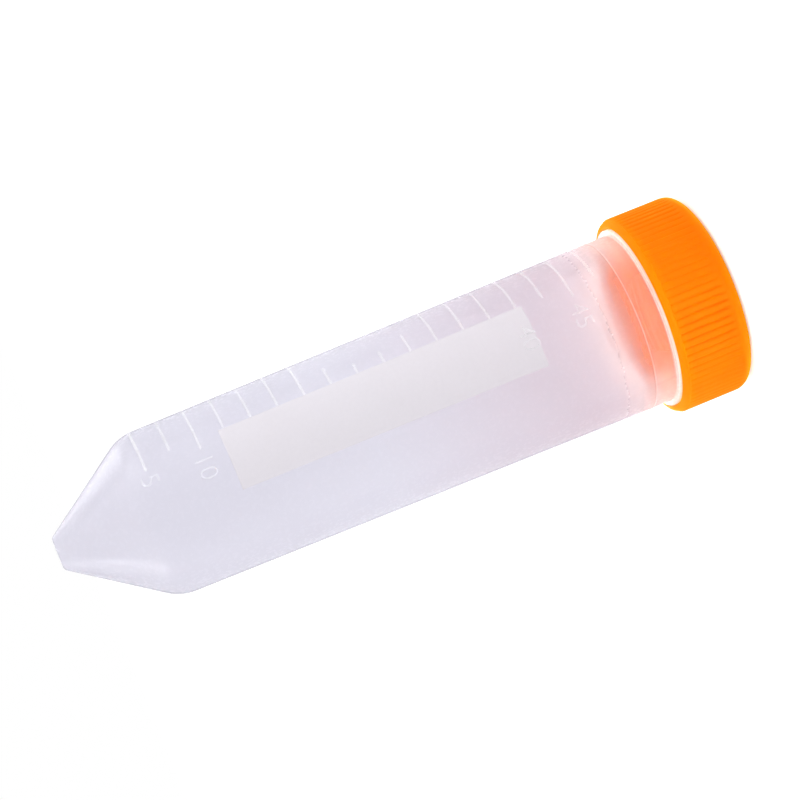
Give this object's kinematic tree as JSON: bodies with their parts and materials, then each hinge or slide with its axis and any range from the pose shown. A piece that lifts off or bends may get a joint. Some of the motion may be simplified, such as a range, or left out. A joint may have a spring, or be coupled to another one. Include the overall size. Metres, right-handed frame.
{
  "type": "conical centrifuge tube",
  "caption": "Translucent conical centrifuge tube with printed scale and writing patch, standing upside down on its ribbed orange screw cap, from which it lifts off.",
  "frame": {"origin": "centre of the cap's flat top, on the surface that it stands on", "axes": "+Z along the tube's axis from its cap up to its tip, because the tube stands upside down on the cap; -Y is the front, the side of the scale's zero angle, between the graduation marks and the middle of the writing patch; +X is the side of the graduation marks"},
  "size_m": [0.0344, 0.0344, 0.1155],
  "materials": {
    "frosted_plastic": "translucent natural polypropylene, softly frosted, glossier at the neck",
    "orange_plastic": "satin moulded polyethylene with a smooth lip",
    "white_ink": "thin opaque white screen print",
    "patch_ink": "matt off-white screen print to write on"
  },
  "bodies": {
    "cap": {"cap": "orange_plastic"},
    "tube": {"tube": "frosted_plastic", "graduation_marks": "white_ink", "writing_patch": "patch_ink"}
  },
  "joints": [
    {"name": "tube_lift", "type": "slide", "parent": "cap", "child": "tube", "axis": [0, 0, 1], "range_m": [0, 0.03]}
  ]
}
